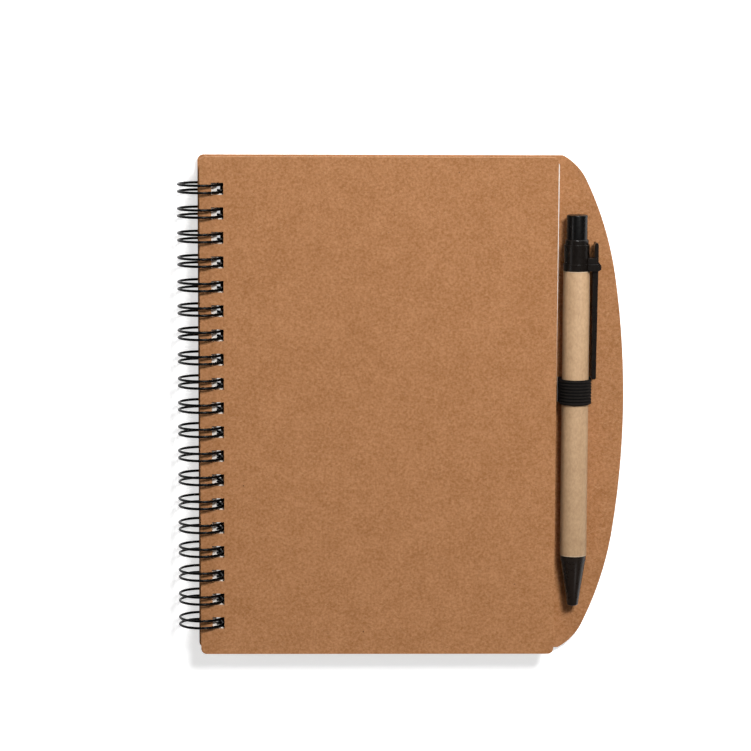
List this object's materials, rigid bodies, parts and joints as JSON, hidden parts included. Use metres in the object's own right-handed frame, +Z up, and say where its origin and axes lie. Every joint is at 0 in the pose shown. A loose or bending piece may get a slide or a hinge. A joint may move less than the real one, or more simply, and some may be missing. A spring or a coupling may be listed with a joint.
{
  "type": "spiral notebook",
  "caption": "Wire-bound notebook with plain kraft board covers, a bowed rear flap and a push-button pen held in an elastic loop.",
  "frame": {"origin": "middle of the footprint, on the surface that the notebook lies on", "axes": "+Z up out of the front cover, +Y along the binding towards the pen's button, +X from the binding to the flap"},
  "size_m": [0.156, 0.1746, 0.0163],
  "materials": {
    "kraft_board": "uncoated recycled board",
    "pages": "uncoated writing paper",
    "black_wire": "glossy black coating",
    "elastic": "woven ribbed elastic",
    "barrel_paper": "smooth wound kraft paper",
    "black_plastic": "satin moulded",
    "inner_plastic": "moulded",
    "ink_tube": "filled ink tube",
    "point_metal": "turned",
    "spring_steel": "drawn wire"
  },
  "bodies": {
    "back": {"rear_cover": "kraft_board", "page_block": "pages", "binding_wire": "black_wire", "pen_loop": "elastic"},
    "front": {"front_cover": "kraft_board"},
    "pen": {"pen_barrel": "barrel_paper", "pen_tip": "black_plastic", "pen_clip_cap": "black_plastic", "pen_spring": "spring_steel"},
    "clicker": {"push_button": "black_plastic", "cam_rotor": "inner_plastic", "refill_tube": "ink_tube", "refill_point": "point_metal"}
  },
  "joints": [
    {"name": "front_cover_hinge", "type": "hinge", "parent": "back", "child": "front", "pos_m": [-0.0699, 0, 0.00819], "axis": [0, -1, 0], "range_deg": [0, 180]},
    {"name": "pen_slide", "type": "slide", "parent": "back", "child": "pen", "axis": [0, 1, 0], "range_m": [0, 0.085]},
    {"name": "button_click", "type": "slide", "parent": "pen", "child": "clicker", "axis": [0, -1, 0], "range_m": [0, 0.006], "stiffness_N_per_m": 400, "springref_m": -0.002, "deforming": ["pen_spring"]}
  ]
}
